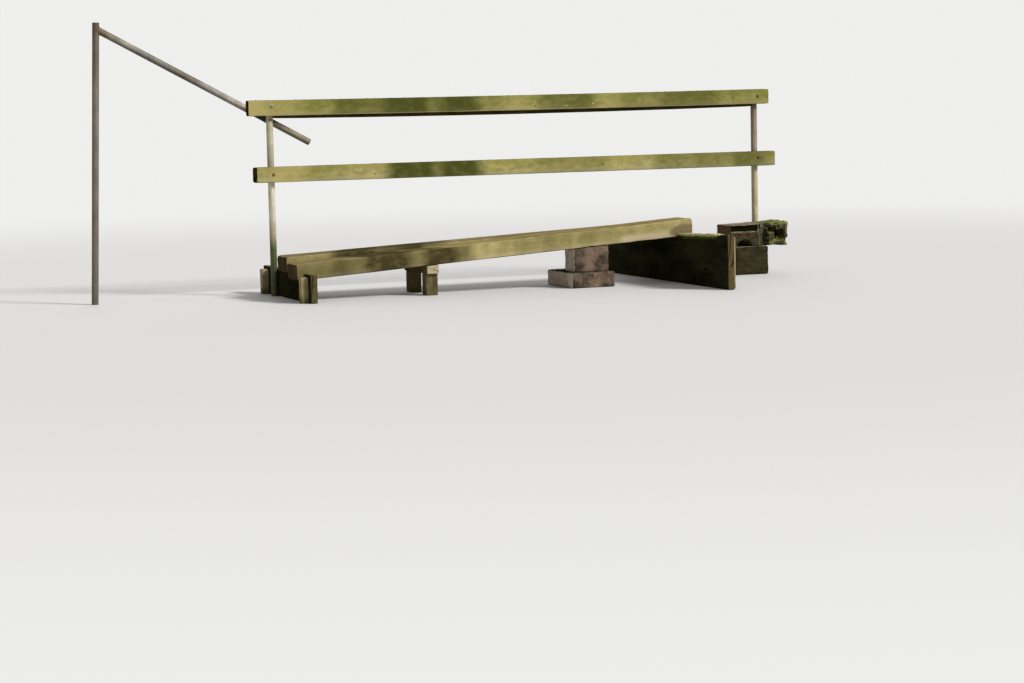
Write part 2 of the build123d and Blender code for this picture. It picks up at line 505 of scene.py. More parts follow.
def wood(f, look, pith, shift):
    """Colour and height of a weathered timber: grain and rings, then algae and dirt face by face, and
    painted shade on the faces that look down.
    """
    across = f.minus(f.across, pith[0])
    upward = f.minus(f.up, pith[1])
    waver = f.times(f.noise((1.1, 5, 5), 2, shift=shift), 0.05)
    turns = f.times(f.plus(f.distance(across, upward), waver), math.tau / look["ring"])
    rings = f.rise(f.calc("SINE", turns), -0.4, 1.0)
    fibre = f.noise((5, 170, 170), 3, 0.65, shift)
    streak = f.noise((1.6, 42, 42), 3, 0.6, shift + 3)
    grain = f.plus(f.times(rings, 0.35), f.plus(f.times(fibre, 0.45), f.times(streak, 0.4)))
    where = f.rise(f.noise((1.3, 9, 9), 2, 0.5, shift + 11), 0.5, 0.6)
    line = f.hairline(f.noise((0.8, 24, 24), 2, 0.5, shift + 7), 0.012, 0.003)
    crack = f.times(f.times(line, where), look["crack"])
    patch = f.noise(look["patch"], 5, 0.62, shift + 1)
    blotch = f.noise((17, 26, 26), 4, 0.6, shift + 6)
    fine = f.noise((38, 60, 60), 4, 0.7, shift + 2)

    end_face = f.rise(f.calc("ABSOLUTE", f.facing[look["grain_axis"]]), 0.6, 0.85)
    top_face = f.rise(f.facing[2], 0.45, 0.8)
    under_face = f.rise(f.facing[2], -0.35, -0.75)

    side = f.mix(look["side_dark"], look["side_light"], f.rise(patch, 0.3, 0.66))
    bare = f.rise(f.noise(look["bare_patch"], 4, 0.6, shift + 5), 0.48, 0.7)
    side = f.mix(side, look["side_bare"], bare, look["bare"])
    trodden = f.rise(f.noise((1.1, 16, 16), 4, 0.6, shift + 8), 0.32, 0.64)
    top = f.mix(look["top_dark"], look["top_light"], trodden)
    end = f.mix(look["end_dark"], look["end_light"], f.times(rings, fine))
    colour = f.mix(side, top, top_face)
    # Painted shade: the faces that look down take the near-black under tone
    colour = f.mix(colour, look["under"], under_face)
    colour = f.mix(colour, end, end_face)
    for pattern, low, high, depth in (
        (grain, 0.3, 0.85, look["grain"]), (blotch, 0.25, 0.75, look["mottle"]), (fine, 0.25, 0.75, 0.1),
    ):
        colour = f.shaded(colour, f.rise(pattern, low, high, 1 - depth, 1 + depth))

    round_pith = f.add("ShaderNodeCombineXYZ")
    f.feed(round_pith.inputs[0], f.times(f.calc("ARCTAN2", upward, across), 3.4))
    split = f.hairline(f.noise(1, 1, 0.5, shift, round_pith.outputs[0]), 0.03, 0.006)
    opened = f.calc("MAXIMUM", crack, f.times(split, end_face))
    colour = f.shaded(colour, f.outside(f.times(opened, 0.7)))
    height = f.plus(f.times(grain, 0.6), f.times(fine, 0.35))
    return colour, f.minus(height, opened)


# In each look, under is the near-black colour of the downward faces: painted shade
RAIL_LOOK = {
    "ring": 0.0065, "grain_axis": 0, "grain": 0.11, "mottle": 0.30, "crack": 0.3, "sunlit_end": 0.75,
    "patch": (4, 9, 9), "bare_patch": (4.5, 8, 11), "bare": 0.5,
    "side_light": (0.260, 0.243, 0.068), "side_dark": (0.186, 0.181, 0.043),
    "side_bare": (0.30, 0.257, 0.112),
    "top_light": (0.24, 0.21, 0.09), "top_dark": (0.11, 0.105, 0.035), "under": (0.035, 0.03, 0.014),
    "end_light": (0.06, 0.042, 0.010), "end_dark": (0.022, 0.014, 0.003),
}
MIDDLE_LOOK = {
    **RAIL_LOOK, "sunlit_end": 0.1,
    "side_light": (0.335, 0.295, 0.099), "side_dark": (0.252, 0.228, 0.067),
    "side_bare": (0.39, 0.35, 0.175),
}
# Near black all over: painted shade, for the shade of the top rail over the strip
STRIP_LOOK = {
    **RAIL_LOOK, "grain": 0.3,
    "side_light": (0.050, 0.038, 0.012), "side_dark": (0.022, 0.017, 0.005),
    "side_bare": (0.06, 0.046, 0.015),
    "top_light": (0.05, 0.04, 0.014), "top_dark": (0.022, 0.018, 0.007), "under": (0.02, 0.016, 0.006),
}
DECK_LOOK = {
    "ring": 0.008, "grain_axis": 0, "grain": 0.12, "mottle": 0.12, "crack": 0.4,
    "patch": (2.4, 5, 3.2), "bare_patch": (9, 5, 1.6), "bare": 0.6,
    "side_light": (0.330, 0.275, 0.110), "side_dark": (0.250, 0.212, 0.078),
    "side_bare": (0.37, 0.305, 0.14),
    "top_light": (0.328, 0.257, 0.106), "top_dark": (0.240, 0.185, 0.076), "under": (0.05, 0.04, 0.02),
    "end_light": (0.15, 0.115, 0.06), "end_dark": (0.05, 0.038, 0.02),
}
BACK_DECK_LOOK = {**DECK_LOOK, "top_light": (0.275, 0.211, 0.099), "top_dark": (0.212, 0.160, 0.072)}
DARK_LOOK = {
    "ring": 0.007, "grain_axis": 1, "grain": 0.25, "mottle": 0.3, "crack": 1.0,
    "patch": (2.5, 8, 8), "bare_patch": (9, 8, 2), "bare": 0.3,
    "side_light": (0.045, 0.036, 0.018), "side_dark": (0.012, 0.010, 0.005),
    "side_bare": (0.06, 0.05, 0.028),
    "top_light": (0.10, 0.085, 0.04), "top_dark": (0.03, 0.027, 0.012), "under": (0.01, 0.008, 0.005),
    "end_light": (0.19, 0.145, 0.070), "end_dark": (0.06, 0.045, 0.018),
}
BOARD_LOOK = {
    **DARK_LOOK, "mottle": 0.15,
    "side_light": (0.026, 0.026, 0.012), "side_dark": (0.009, 0.010, 0.005),
    "side_bare": (0.032, 0.030, 0.013),
}
KERB_LOOK = {
    **DARK_LOOK, "grain_axis": 0,
    "top_light": (0.30, 0.235, 0.155), "top_dark": (0.15, 0.12, 0.075),
}
STAKE_LOOK = {
    "ring": 0.005, "grain_axis": 2, "grain": 0.22, "mottle": 0.15, "crack": 0.8,
    "patch": (4, 14, 14), "bare_patch": (3, 20, 20), "bare": 0.5,
    "side_light": (0.36, 0.30, 0.17), "side_dark": (0.22, 0.18, 0.085), "side_bare": (0.42, 0.35, 0.22),
    "top_light": (0.34, 0.28, 0.16), "top_dark": (0.18, 0.15, 0.07), "under": (0.05, 0.04, 0.02),
    "end_light": (0.42, 0.35, 0.21), "end_dark": (0.20, 0.16, 0.09),
}
# The beam's sides are painted dark, for the shade under the deck; its end grain stays pale
BEAM_LOOK = {
    **STAKE_LOOK, "grain_axis": 1,
    "side_light": (0.13, 0.10, 0.055), "side_dark": (0.06, 0.045, 0.024), "side_bare": (0.17, 0.135, 0.08),
    "end_light": (0.58, 0.49, 0.32), "end_dark": (0.36, 0.30, 0.18),
}
PILE_LOOK = {
    **STAKE_LOOK,
    "side_light": (0.15, 0.123, 0.058), "side_dark": (0.07, 0.056, 0.025), "side_bare": (0.20, 0.165, 0.09),
}

# Tones on the rails and the deck
KNOT = (0.115, 0.075, 0.025)
RUSTY_MARK = (0.27, 0.13, 0.035)
PALE_CRUST = (0.40, 0.41, 0.27)
LICHEN_SHARE = 0.035
BARE_BROWN = (0.235, 0.163, 0.084)
# Painted sunlight: the light yellow of the rails' sunlit lengths and of the top rail's left end
SUNLIT_YELLOW = (0.41, 0.34, 0.128)
PALE_ARRIS = (0.38, 0.32, 0.17)
# Painted tree shadow: the dark olive of the shaded lengths on the rails
RAIL_SHADOW_TONE = (0.064, 0.068, 0.015)
# Painted tree shadow: the dark brown of the shaded lengths on the deck
DECK_SHADOW_TONE = (0.052, 0.043, 0.016)
PALE_FOOT = (0.44, 0.365, 0.20)
WORN_EDGE = (0.47, 0.40, 0.215)
BLEACHED = (0.48, 0.39, 0.235)
DRY_DIRT = ((0.11, 0.082, 0.040), (0.24, 0.185, 0.105))

# Tones on the boards, the kerb and the stakes
GREEN_FILM = (0.080, 0.100, 0.012)
BOARD_GREENS = ((0.06, 0.068, 0.016), (0.22, 0.23, 0.055))
KERB_GREENS = ((0.05, 0.055, 0.015), (0.20, 0.21, 0.05))
KERB_GREYS = ((0.018, 0.015, 0.007), (0.088, 0.072, 0.040))
KERB_BLACK = (0.005, 0.0055, 0.001)
RED_LEDGE = (0.075, 0.040, 0.028)
PALE_FIBRE = (0.175, 0.155, 0.085)
SOIL = ((0.085, 0.050, 0.030), (0.20, 0.125, 0.085))
WET_STAKE = (0.10, 0.085, 0.035)

# Tones on stone and steel
STONE = ((0.040, 0.030, 0.021), (0.140, 0.104, 0.074))
STONE_RIGHT = (0.225, 0.148, 0.100)
# Painted skylight: the pale tone of the stone's shaded left sides
STONE_SKYLIGHT = (0.50, 0.41, 0.33)
STONE_MOSS = (0.055, 0.065, 0.025)
TUBE_RUST = (0.15, 0.075, 0.03)


def stretches(f, colour, tone, lengths, slant=0.0, where=1.0):
    """Lengths of another tone with soft ends, each (middle, half its length, depth).

    Across the top they run on the slant.
    """
    spot = f.plus(f.plus(f.along, f.times(f.across, slant)), f.waver(0.14, (6, 9, 9), 4))
    uneven = f.times(f.rise(f.noise((13, 17, 22), 4, 0.65), 0.3, 0.62, 0.86, 1.08), where)
    for middle, half, depth in lengths:
        away = f.calc("ABSOLUTE", f.minus(spot, middle))
        cover = f.times(f.rise(away, half + 0.07, half - 0.06, 0.0, depth), uneven)
        colour = f.mix(colour, tone, cover)
    return colour


def rail_finish(name, start, look, shift, marks, tree_shadows, sunlit_lengths):
    """A rail under algae, greener above and paler below. Marks are (along, up, size, tone)."""
    f = Finish(name, start)
    colour, height = wood(f, look, (0.19, -0.06), shift)
    front = f.front_face()
    ragged = f.waver(0.07, (7, 14, 14), 4)
    level = f.plus(f.up, ragged)
    colour = f.mix(colour, look["side_dark"], f.times(f.rise(level, 0.05, 0.095, 0.0, 0.6), front))
    colour = f.mix(colour, look["side_bare"], f.times(f.rise(level, 0.048, 0.014, 0.0, 0.65), front))
    # Painted sunlight: lighter yellow lengths
    colour = stretches(f, colour, SUNLIT_YELLOW, sunlit_lengths)
    # Painted shadows of trees: darker lengths in the rails' shadow tone
    colour = stretches(f, colour, RAIL_SHADOW_TONE, tree_shadows)
    for x, z, size, tone in marks:
        mark = f.near(x, z, size * 1.4, size, 0.2)
        colour = f.mix(colour, tone, f.times(mark, front))
        height = f.plus(height, f.times(mark, 0.3))
    # Painted sunlight on the rail's left end, strong on the top rail
    sunlit_end = f.times(f.rise(f.plus(f.along, ragged), 0.20, 0.06), front)
    colour = f.mix(colour, SUNLIT_YELLOW, sunlit_end, look["sunlit_end"])
    colour = f.mix(colour, PALE_ARRIS, f.times(f.rise(f.up, 0.007, 0.002), front), 0.5)
    far, chance = f.cells((26, 40, 40), shift)
    lichen = f.times(f.rise(far, 0.28, 0.12), f.rise(chance, 1.0 - LICHEN_SHARE, 1.02 - LICHEN_SHARE))
    colour = f.mix(colour, PALE_CRUST, lichen, 0.7)
    return f.done(colour, 0.88, height, 0.0008)


def strip_finish(name, start, shift):
    """The strip behind the top rail, painted near black for the shade of the rail over it."""
    f = Finish(name, start)
    colour, height = wood(f, STRIP_LOOK, (0.05, 0.12), shift)
    return f.done(colour, 0.85, height, 0.0012)


def deck_finish(name, start, rise, shift, look, taper, front_shadows, top_shadows, top_slant):
    """A worn deck timber. Its painted tree shadows are given as lengths for its front and for its top."""
    f = Finish(name, start, (0, -rise, 0))
    is_front = taper > 0
    colour, height = wood(f, look, (0.12, -0.08), shift)
    ragged = f.times(f.noise((14, 30, 30), 4, 0.65, shift + 4), 0.014)
    front = f.front_face()
    top_side = f.rise(f.facing[2], 0.5, 0.8)
    if is_front:
        pale = f.times(f.rise(f.plus(f.up, ragged), 0.056, 0.014), front)
        colour = f.mix(colour, PALE_FOOT, pale, 0.7)
        broad = f.noise((7, 6, 2.2), 3, 0.55, shift + 20)
        colour = f.shaded(colour, f.rise(broad, 0.32, 0.66, 0.86, 1.10))
        brown = f.times(f.rise(f.plus(f.along, ragged), 0.50, 0.36), top_side)
        colour = f.mix(colour, BARE_BROWN, brown, 0.7)
    depth = f.plus(TIMBER_DEPTH, f.times(f.along, taper / DECK_RUN))
    from_arris = f.plus(f.plus(f.across, f.minus(depth, f.up)), ragged)
    colour = f.mix(colour, WORN_EDGE, f.rise(from_arris, 0.022, 0.010), 0.75)
    # Painted shadows of trees: darker lengths on the front, and on the slant across the top
    colour = stretches(f, colour, DECK_SHADOW_TONE, front_shadows, 0.0, front)
    colour = stretches(f, colour, DECK_SHADOW_TONE, top_shadows, top_slant, f.outside(front))
    if is_front:
        bleached = f.times(f.rise(f.plus(f.up, ragged), 0.085, 0.035), f.band(f.along, 2.47, 2.80, 0.06))
        colour = f.mix(colour, BLEACHED, f.times(bleached, front))
        dirt = f.mix(*DRY_DIRT, f.rise(f.noise(90, 4, 0.75), 0.35, 0.65))
        dirty = f.times(f.near(2.95, 0.040, 0.130, 0.060, 0.7, 0.7), front)
        colour = f.mix(colour, dirt, dirty, 0.92)
    return f.done(colour, 0.86, height, 0.0011)


def board_finish(name, start, turn, look, shift, mossy=0.5, film=None):
    """Old black timber with moss creeping over its top, and a green film down its side.

    The film is (height, from, to).
    """
    f = Finish(name, start, turn)
    colour, height = wood(f, look, (0.02, -0.15), shift)
    reach = f.noise((14, 20, 20), 5, 0.7, shift)
    if film:
        top, near_end, far_end = film
        below_fall = f.plus(f.up, f.times(f.along, math.tan(BOARD_FALL)))
        level = f.plus(below_fall, f.waver(0.03, (30, 30, 4), 4, 0.7, shift))
        upper = f.rise(level, top - 0.042, top - 0.012)
        green_side = f.times(upper, f.band(f.along, near_end, far_end, 0.12))
        colour = f.mix(colour, GREEN_FILM, green_side, 0.95)
    creep = f.times(f.rise(f.facing[2], 0.2, 0.75), f.rise(reach, 0.6 - mossy * 0.3, 0.68 - mossy * 0.3))
    colour = f.mix(colour, f.mix(*BOARD_GREENS, f.noise(120, 3, 0.7, shift)), creep)
    return f.done(colour, 0.8, height, 0.002)


def kerb_finish(name, start):
    """The upper kerb: black over a red-brown ledge, greyer below it, with pale fibres at the rotted end."""
    f = Finish(name, start)
    colour, height = wood(f, KERB_LOOK, (0.02, -0.15), 8.0)
    left_end = f.times(f.rise(f.along, 0.03, 0.012), f.rise(f.facing[0], -0.4, -0.8))
    upright = f.times(f.rise(f.facing[2], 0.6, 0.3), f.outside(left_end))
    ragged = f.waver(0.03, 16, 4)
    level = f.plus(f.up, ragged)
    sound = f.times(f.rise(f.plus(f.along, f.times(ragged, 2.0)), 0.23, 0.18), upright)
    grey = f.mix(*KERB_GREYS, f.rise(f.noise(50, 5, 0.7), 0.38, 0.66))
    below = f.rise(level, KERB_LEDGE + 0.004, KERB_LEDGE - 0.010)
    above = f.rise(level, KERB_LEDGE - 0.004, KERB_LEDGE + 0.004)
    ledge = f.band(f.up, KERB_LEDGE - 0.009, KERB_LEDGE - 0.001, 0.004)
    colour = f.mix(colour, grey, f.times(below, upright))
    colour = f.mix(colour, KERB_BLACK, f.times(above, sound), 0.93)
    colour = f.mix(colour, RED_LEDGE, f.times(ledge, sound), 0.9)
    fibres = f.rise(f.noise((95, 20, 7), 4, 0.7), 0.50, 0.66)
    rotten = f.times(f.rise(f.along, KERB_ROT_START, KERB_ROT_START + 0.04), upright)
    colour = f.mix(colour, PALE_FIBRE, f.times(fibres, rotten), 0.8)
    colour = f.mix(colour, f.mix(*SOIL, f.noise(40, 5, 0.7)), left_end, 0.85)
    slanted = f.minus(f.plus(f.along, ragged), f.times(f.across, MOSS_EDGE_SLANT))
    creep = f.times(f.rise(f.facing[2], 0.1, 0.6), f.rise(slanted, 0.24, 0.29))
    colour = f.mix(colour, f.mix(*KERB_GREENS, f.noise(120, 3, 0.7)), creep)
    return f.done(colour, 0.85, height, 0.002)


def stake_finish(name, start, turn, shift, wet_height, look=STAKE_LOOK):
    """Pale sawn stake, green and dark towards the ground."""
    f = Finish(name, start, turn)
    colour, height = wood(f, look, (0.12, 0.1), shift)
    level = f.plus(f.parts_of(f.place)[2], f.times(f.noise(12, 3), 0.04))
    colour = f.mix(colour, WET_STAKE, f.rise(level, wet_height + 0.035, wet_height - 0.015), 0.85)
    return f.done(colour, 0.86, height, 0.0014)


def stone_finish(name, shift):
    """Rough stone, paler to the right, with painted skylight making its left sides pale, and moss on top.
    """
    f = Finish(name)
    broad = f.noise(9, 5, 0.6, shift)
    grit = f.noise(90, 4, 0.7, shift)
    pit = f.cells(55, shift)[0]
    colour = f.mix(*STONE, f.rise(broad, 0.36, 0.64))
    pale_patch = f.rise(f.noise(11, 4, 0.6, shift + 3), 0.40, 0.60)
    colour = f.mix(colour, STONE_RIGHT, f.times(f.band(f.along, 0.83, 0.97, 0.05), pale_patch), 0.7)
    left_side = f.rise(f.facing[0], -0.3, -0.8)
    # Painted skylight on the left sides
    colour = f.mix(colour, STONE_SKYLIGHT, f.times(left_side, f.rise(f.noise(16, 4), 0.3, 0.5, 0.55, 1.0)))
    colour = f.shaded(colour, f.rise(grit, 0.25, 0.75, 0.72, 1.25))
    mossy = f.times(f.rise(f.facing[2], 0.4, 0.9), f.rise(broad, 0.4, 0.6, 0.2, 0.8))
    colour = f.mix(colour, STONE_MOSS, mossy)
    return f.done(colour, 0.9, f.minus(f.plus(broad, grit), f.rise(pit, 0.35, 0.1)), 0.003)


def tube_finish(name, tones, shift):
    """Galvanised tube gone dull, with dirt in runs, and painted shade on the faces that look down.

    Tones are (height, colour) upwards, each fading into the next.
    """
    f = Finish(name, gloss=0.3)
    chance = f.cells((95, 95, 60), shift)[1]
    runs = f.noise((60, 60, 5), 4, 0.6, shift)
    blotch = f.noise((14, 14, 9), 5, 0.65, shift + 2)
    uneven = f.plus(f.up, f.times(f.minus(blotch, 0.5), 0.08))
    colour = tones[0][1]
    for (low_height, _), (high_height, tone) in zip(tones, tones[1:]):
        colour = f.mix(colour, tone, f.rise(uneven, low_height, high_height))
    colour = f.shaded(colour, f.rise(blotch, 0.3, 0.7, 1.10, 0.86))
    colour = f.shaded(colour, f.plus(0.94, f.times(chance, 0.12)))
    colour = f.shaded(colour, f.rise(runs, 0.3, 0.7, 0.86, 1.1))
    # Painted shade: darker on the faces that look down
    colour = f.shaded(colour, f.rise(f.facing[2], 0.0, -0.6, 1.0, 0.55))
    rust = f.times(f.rise(f.noise((30, 30, 18), 5, 0.7, shift + 9), 0.68, 0.76), 0.6)
    colour = f.mix(colour, TUBE_RUST, rust)
    height = f.plus(f.times(chance, 0.2), f.plus(blotch, rust))
    metal = f.times(f.outside(rust), 0.12)
    return f.done(colour, f.rise(blotch, 0.3, 0.7, 0.58, 0.72), height, 0.0004, metal)


def bolt_finish(name, tone, rust_tone, amount, gloss=0.3):
    """Steel under rust. A crusted bolt has hardly any gloss."""
    f = Finish(name, gloss=gloss)
    blotch = f.noise(160, 5, 0.7)
    rust = f.rise(blotch, 0.72 - amount * 0.5, 0.78 - amount * 0.5)
    return f.done(f.mix(tone, rust_tone, rust), 0.7, blotch, 0.0008, f.times(f.outside(rust), gloss * 0.7))


def moss_finish(name, dark, middle, bright, shift):
    """Moss in clumps, with painted shade between the tufts, and bright on the leafy ones."""
    f = Finish(name)
    tuft = f.cells(160, shift)[0]
    clump = f.noise(26, 4, 0.65, shift)
    leafy = f.noise(240, 3, 0.75, shift)
    colour = f.mix(dark, middle, f.rise(clump, 0.34, 0.56))
    colour = f.mix(colour, bright, f.times(f.rise(leafy, 0.42, 0.7), f.rise(clump, 0.4, 0.66)))
    # Painted shade: darker away from the middle of each tuft
    colour = f.shaded(colour, f.rise(tuft, 0.75, 0.1, 0.62, 1.2))
    f.shader.inputs["Sheen Weight"].default_value = 0.12
    f.shader.inputs["Sheen Roughness"].default_value = 0.6
    return f.done(colour, 0.95, f.minus(leafy, tuft), 0.004)


# Rails

def make_rail(name, node, look, shift, skew, bow, marks, tree_shadows, sunlit_lengths):
    """A sawn rail with worn arrises, hanging a hair lower at mid-span, its left end cut on the skew."""
    low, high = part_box(node)
    reach = (high.y - low.y) * math.tan(skew)
    size = (high.x - low.x - reach, high.y - low.y, high.z - low.z)
    rail = blank(name, size)
    cut_into_cells(rail, size, 0.010)
    break_arrises(rail, size, 0.003)
    wear(rail, size, bite=0.0022, reach=0.016, seed=shift)

    def bent(p):
        p.z -= bow * sag_at(p.x / size[0])
        p.x -= p.y * math.tan(skew) * max(0, 1 - p.x / SKEW_LENGTH)
        return p

    sculpt(rail, bent)
    roughen(rail, 0.0012, 0.03, (7, 1, 1), shift)
    smooth(rail)
    start = (low.x + reach, low.y, low.z)
    stand(rail, start)
    fit_out(rail, "rail_wood", rail_finish(name + "_wood", start, look, shift, marks, tree_shadows, sunlit_lengths), node)


TOP_MARKS = (
    (0.081, 0.030, 0.014, KNOT), (0.171, 0.075, 0.017, PALE_CRUST), (0.652, 0.038, 0.006, KNOT),
    (1.157, 0.048, 0.005, KNOT), (1.428, 0.049, 0.008, RUSTY_MARK), (2.172, 0.025, 0.008, KNOT),
    (2.635, 0.033, 0.007, PALE_CRUST), (2.673, 0.040, 0.009, RUSTY_MARK), (3.45, 0.07, 0.007, KNOT),
)
MIDDLE_MARKS = (
    (0.873, 0.037, 0.008, KNOT), (1.401, 0.056, 0.011, KNOT), (2.657, 0.054, 0.012, KNOT),
    (3.0, 0.081, 0.006, KNOT), (3.09, 0.093, 0.006, PALE_CRUST), (3.6, 0.03, 0.008, KNOT),
)
# Painted sunlight on the rails, each (middle, half its length, strength)
TOP_RAIL_SUNLIT = ((0.24, 0.13, 0.35), (2.04, 0.12, 0.25), (2.76, 0.12, 0.25))
MIDDLE_RAIL_SUNLIT = ((0.25, 0.11, 0.50), (0.82, 0.10, 0.20), (2.88, 0.13, 0.25))
# Painted shadows of trees on the rails, each (middle, half its length, depth)
TOP_RAIL_SHADOWS = (
    (0.54, 0.11, 0.10), (0.71, 0.08, 0.64), (0.88, 0.13, 0.48), (1.17, 0.17, 0.96), (1.41, 0.07, 0.52),
    (1.59, 0.13, 0.97), (1.84, 0.09, 0.20), (2.41, 0.18, 0.54), (2.58, 0.06, 0.42), (3.02, 0.15, 0.28),
    (3.28, 0.10, 0.58), (3.50, 0.14, 0.60), (3.80, 0.18, 0.15),
)
MIDDLE_RAIL_SHADOWS = (
    (0.50, 0.12, 0.20), (1.15, 0.17, 0.97), (1.37, 0.07, 0.60), (1.54, 0.14, 0.97), (2.38, 0.26, 0.22),
    (3.20, 0.08, 0.10), (3.60, 0.50, 0.42), (3.52, 0.10, 0.15), (3.88, 0.12, 0.48),
)
make_rail("rail_top", "top_rail", RAIL_LOOK, 0.0, TOP_SKEW, TOP_BOW, TOP_MARKS, TOP_RAIL_SHADOWS, TOP_RAIL_SUNLIT)
make_rail(
    "rail_middle", "middle_rail", MIDDLE_LOOK, 5.0, MIDDLE_SKEW, 0.0, MIDDLE_MARKS, MIDDLE_RAIL_SHADOWS, MIDDLE_RAIL_SUNLIT
)


def make_strip():
    """The thin strip behind the top rail, between the posts, sagging under its own weight."""
    seed = 13.0
    low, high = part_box("top_rail_strip")
    size = (high.x - low.x, high.y - low.y, STRIP_HEIGHT)
    sag = high.z - low.z - STRIP_HEIGHT
    strip = blank("rail_strip", size)
    cut_into_cells(strip, size, 0.012)
    break_arrises(strip, size, 0.002)
    wear(strip, size, bite=0.002, reach=0.014, seed=seed)

    def hanging(p):
        p.z -= sag * sag_at(p.x / size[0])
        return p

    sculpt(strip, hanging)
    roughen(strip, 0.0016, 0.03, (7, 1, 1), seed)
    smooth(strip)
    start = (low.x, low.y, high.z - STRIP_HEIGHT)
    stand(strip, start)
    fit_out(strip, "dark_wood", strip_finish("rail_strip_wood", start, seed), "top_rail_strip")


make_strip()


# Deck

def make_deck_timber(name, node, rise, taper, shift, look, front_shadows, top_shadows, top_slant):
    """A sawn timber with a trodden top, deeper by the taper at its right end, which is cut plumb."""
    low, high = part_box(node)
    size = (DECK_RUN / math.cos(rise), TIMBER_WIDTH, TIMBER_DEPTH)
    tread_wear = 0.0035
    plumb_run = 0.3
    timber = blank(name, size)
    cut_into_cells(timber, size, 0.0105)
    break_arrises(timber, size, 0.006, 3)
    wear(timber, size, bite=0.0045, reach=0.026, seed=shift)

    def trodden(p):
        if p.z > TIMBER_DEPTH / 2:
            middle = 1 - abs(p.y / TIMBER_WIDTH - 0.5) * 2
            p.z -= tread_wear * middle * cloud(p.x * 1.5, p.y * 6, shift)
        p.z *= 1 + taper / TIMBER_DEPTH * p.x / size[0]
        by_right_end = max(0, 1 - (size[0] - p.x) / plumb_run)
        p.x += p.z * math.tan(rise) * by_right_end
        return p

    sculpt(timber, trodden)
    roughen(timber, 0.003, 0.035, (8, 1, 1), shift)
    smooth(timber)
    start = (low.x + TIMBER_DEPTH * math.sin(rise), low.y, low.z)
    stand(timber, start, Matrix.Rotation(-rise, 4, "Y"))
    finish = deck_finish(name + "_wood", start, rise, shift, look, taper, front_shadows, top_shadows, top_slant)
    fit_out(timber, "deck_wood", finish, node)
    return start


# Painted shadows of trees on the deck timbers, each (middle, half its length, depth)
FRONT_SHADOWS = (
    (0.15, 0.22, 0.50), (0.335, 0.07, 0.45), (0.45, 0.08, 0.45), (0.66, 0.16, 0.95), (0.86, 0.09, 0.50),
    (1.055, 0.115, 0.97), (1.20, 0.08, 0.55), (1.96, 0.12, 0.22), (2.28, 0.17, 0.08),
)
FRONT_TOP_SHADOWS = ((0.68, 0.19, 0.93), (1.00, 0.10, 0.70))
BACK_SHADOWS = (
    (0.12, 0.22, 0.12), (0.51, 0.16, 0.96), (0.80, 0.12, 0.75), (0.94, 0.10, 0.95), (1.10, 0.08, 0.55),
    (1.75, 0.20, 0.12),
)
front_start = make_deck_timber(
    "deck_front", "front_deck_timber", FRONT_RISE, FRONT_TAPER, 2.0, DECK_LOOK,
    FRONT_SHADOWS, FRONT_TOP_SHADOWS, top_slant=0.5,
)
back_start = make_deck_timber(
    "deck_back", "back_deck_timber", BACK_RISE, 0.0, 9.0, BACK_DECK_LOOK,
    BACK_SHADOWS, BACK_SHADOWS, top_slant=-0.4,
)


def deck_housings():
    """Shapes that cut a support to the two timbers which lie in it, with no rib left between them."""
    cutters = []
    past_end = 0.3
    for start, rise, before, after in (
        (front_start, FRONT_RISE, HOUSING_CLEARANCE, HOUSING_OVERLAP),
        (back_start, BACK_RISE, HOUSING_OVERLAP, HOUSING_CLEARANCE),
    ):
        cutter = blank("housing", (DECK_RUN + 2 * past_end, TIMBER_WIDTH + before + after, 0.4))
        cutter.data.transform(Matrix.Translation((-past_end, -before, 0)))
        stand(cutter, start, Matrix.Rotation(-rise, 4, "Y"))
        cutters.append(cutter)
    return cutters


# Retaining boards, pegs, trestle, pier and kerb

def make_block(name, node, slot, finish, arris, cell, rough, shift, drawn_out, bedded=False):
    """A squared piece with soft arrises. A bedded one is cut to the deck's timbers."""
    low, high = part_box(node)
    piece = blank(name, high - low)
    soften(piece, arris)
    stand(piece, low)
    if bedded:
        cut_away(piece, *deck_housings())
    remesh(piece, cell)
    roughen(piece, rough, 0.03, drawn_out, shift)
    keep_above_ground(piece)
    smooth(piece)
    fit_out(piece, slot, finish, node)


def make_right_upper_board():
    low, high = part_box("right_upper_board")
    board = blank("board_right_upper", high - low)
    stand(board, low)
    open_mesh(board)
    bpy.ops.mesh.select_all(action="SELECT")
    bpy.ops.mesh.bisect(
        plane_co=(low.x, low.y, high.z), plane_no=(0, math.sin(BOARD_FALL), math.cos(BOARD_FALL)),
        use_fill=True, clear_outer=True,
    )
    close_mesh()
    cut_away(board, *deck_housings())
    remesh(board, 0.005)
    roughen(board, 0.006, 0.035, (1, 6, 1), 4.0)
    smooth(board)
    film = (high.z - low.z, 0.25, 0.70)
    finish = board_finish("board_right_upper_wood", low, ALONG_Y, BOARD_LOOK, 1.0, 0.7, film)
    fit_out(board, "dark_wood", finish, "right_upper_board")


def make_plain_boards():
    for name, node, cell, rough, shift, mossy, bedded in (
        ("board_right_lower", "right_lower_board", 0.006, 0.006, 6.0, 0.2, False),
        ("board_left", "left_board", 0.005, 0.005, 8.0, 0.5, True),
    ):
        finish = board_finish(name + "_wood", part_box(node)[0], ALONG_Y, BOARD_LOOK, shift, mossy)
        make_block(
            name, node, "dark_wood", finish, arris=0.004, cell=cell, rough=rough, shift=shift,
            drawn_out=(1, 6, 1), bedded=bedded,
        )


def make_pegs():
    for shift, side in enumerate(("left_front", "left_back", "right_front", "right_back")):
        name = "peg_" + side
        node = side + "_peg"
        finish = stake_finish(name + "_wood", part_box(node)[0], ALONG_Z, 2.0 + shift, 0.05)
        make_block(
            name, node, "stake_wood", finish, arris=0.006, cell=0.003, rough=0.003, shift=shift,
            drawn_out=(1, 1, 5),
        )


